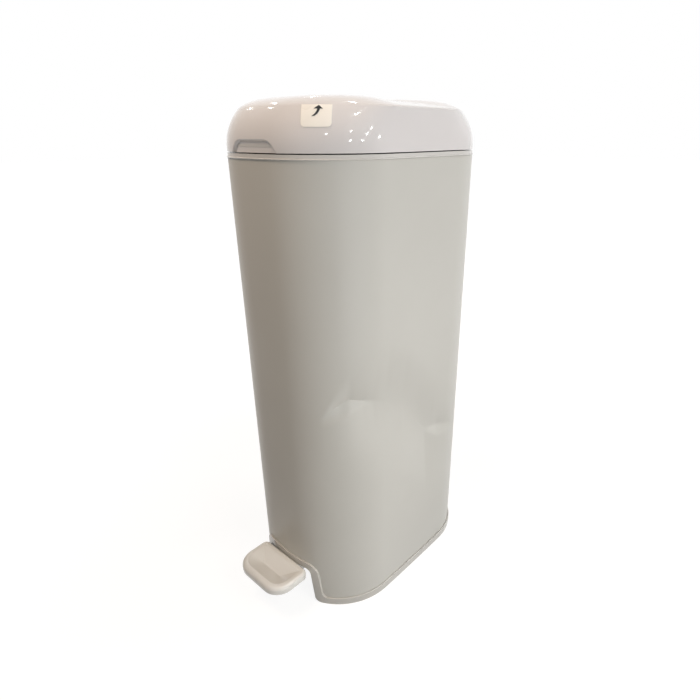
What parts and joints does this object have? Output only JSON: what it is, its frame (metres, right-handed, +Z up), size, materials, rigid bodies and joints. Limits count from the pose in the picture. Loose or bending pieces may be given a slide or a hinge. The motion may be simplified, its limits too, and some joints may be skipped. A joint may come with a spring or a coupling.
{
  "type": "step-on waste pail",
  "caption": "Tall narrow step-on nursery waste pail: painted steel body, domed hinged lid with filter, pedal drive, sealing clamp jaws and a lift-out bucket.",
  "frame": {"origin": "centre of the body's footprint on the floor", "axes": "+Z up, -Y to the front where the pedal is, +X to the right of a person facing the front"},
  "size_m": [0.2206, 0.3962, 0.658],
  "materials": {
    "body_paint": "satin pearl",
    "rim_plastic": "gloss",
    "lid_plastic": "gloss",
    "pedal_plastic": "gloss",
    "base_plastic": "moulded matt",
    "shelf_plastic": "moulded matt",
    "bracket_steel": "satin",
    "pin_steel": "drawn",
    "frame_plastic": "gloss",
    "tray_plastic": "moulded matt",
    "film": "pleated film",
    "jaw_plastic": "moulded matt",
    "seal_rubber": "soft",
    "cutter_plastic": "gloss",
    "blade_steel": "ground",
    "carbon": "felt",
    "label_film": "coated",
    "bucket_plastic": "moulded matt",
    "grip_plastic": "moulded matt"
  },
  "bodies": {
    "pail": {"steel_wrap": "body_paint", "base_rim": "rim_plastic", "base_plate": "base_plastic", "inner_shelf": "shelf_plastic", "pedal_bracket": "bracket_steel", "pedal_pin": "pin_steel", "hinge_bracket": "bracket_steel", "hinge_pin": "pin_steel", "rod_guide_upper": "base_plastic", "rod_guide_lower": "base_plastic"},
    "top": {"top_frame": "frame_plastic", "clamp_tray": "tray_plastic", "film_cassette": "film", "jaw_pin_left": "pin_steel", "jaw_pin_right": "pin_steel"},
    "lid": {"lid_shell": "lid_plastic", "lid_pan": "tray_plastic", "lid_gasket": "seal_rubber", "lid_arm": "bracket_steel", "filter_housing": "tray_plastic", "carbon_filter": "carbon", "filter_pin": "pin_steel", "lid_label": "label_film"},
    "door": {"filter_door": "tray_plastic"},
    "jaw_l": {"jaw_left": "jaw_plastic", "jaw_lip_left": "seal_rubber"},
    "jaw_r": {"jaw_right": "jaw_plastic", "jaw_lip_right": "seal_rubber"},
    "cutter": {"film_cutter": "cutter_plastic", "cutter_blade": "blade_steel"},
    "pedal_arm": {"pedal": "pedal_plastic", "pedal_lever": "bracket_steel"},
    "rod": {"push_rod": "pin_steel"},
    "bucket": {"inner_bucket": "bucket_plastic"},
    "bail": {"bucket_handle": "pin_steel", "handle_grip": "grip_plastic"}
  },
  "joints": [
    {"name": "top_hinge", "type": "hinge", "parent": "pail", "child": "top", "pos_m": [0, 0.1667, 0.59705], "axis": [-1, 0, 0], "range_deg": [0, 75]},
    {"name": "lid_hinge", "type": "hinge", "parent": "top", "child": "lid", "pos_m": [0, 0.1667, 0.59705], "axis": [-1, 0, 0], "range_deg": [0, 78]},
    {"name": "filter_door_hinge", "type": "hinge", "parent": "lid", "child": "door", "pos_m": [0, 0.029, 0.6034], "axis": [1, 0, 0], "range_deg": [0, 90]},
    {"name": "jaw_left_hinge", "type": "hinge", "parent": "top", "child": "jaw_l", "pos_m": [-0.046, 0, 0.542], "axis": [0, 1, 0], "range_deg": [0, 75]},
    {"name": "jaw_right_hinge", "type": "hinge", "parent": "top", "child": "jaw_r", "pos_m": [0.046, 0, 0.542], "axis": [0, -1, 0], "range_deg": [0, 75]},
    {"name": "cutter_slide", "type": "slide", "parent": "top", "child": "cutter", "axis": [1, 0, 0], "range_m": [0, 0.056]},
    {"name": "pedal_pivot", "type": "hinge", "parent": "pail", "child": "pedal_arm", "pos_m": [0, -0.06, 0.03], "axis": [1, 0, 0], "range_deg": [0, 8.95]},
    {"name": "push_rod_slide", "type": "slide", "parent": "pail", "child": "rod", "axis": [0, 0, 1], "range_m": [0, 0.0322]},
    {"name": "bucket_lift", "type": "slide", "parent": "pail", "child": "bucket", "axis": [0, 0, 1], "range_m": [0, 0.1]},
    {"name": "bail_hinge", "type": "hinge", "parent": "bucket", "child": "bail", "pos_m": [0, -0.008, 0.3978], "axis": [-1, 0, 0], "range_deg": [0, 180]}
  ],
  "couplings": [
    {"joint": "jaw_left_hinge", "follows": "lid_hinge", "ratio": 0.96},
    {"joint": "jaw_right_hinge", "follows": "lid_hinge", "ratio": 0.96},
    {"joint": "pedal_pivot", "follows": "lid_hinge", "ratio": 0.1145},
    {"joint": "push_rod_slide", "follows": "lid_hinge", "m_per_rad": 0.0235}
  ]
}
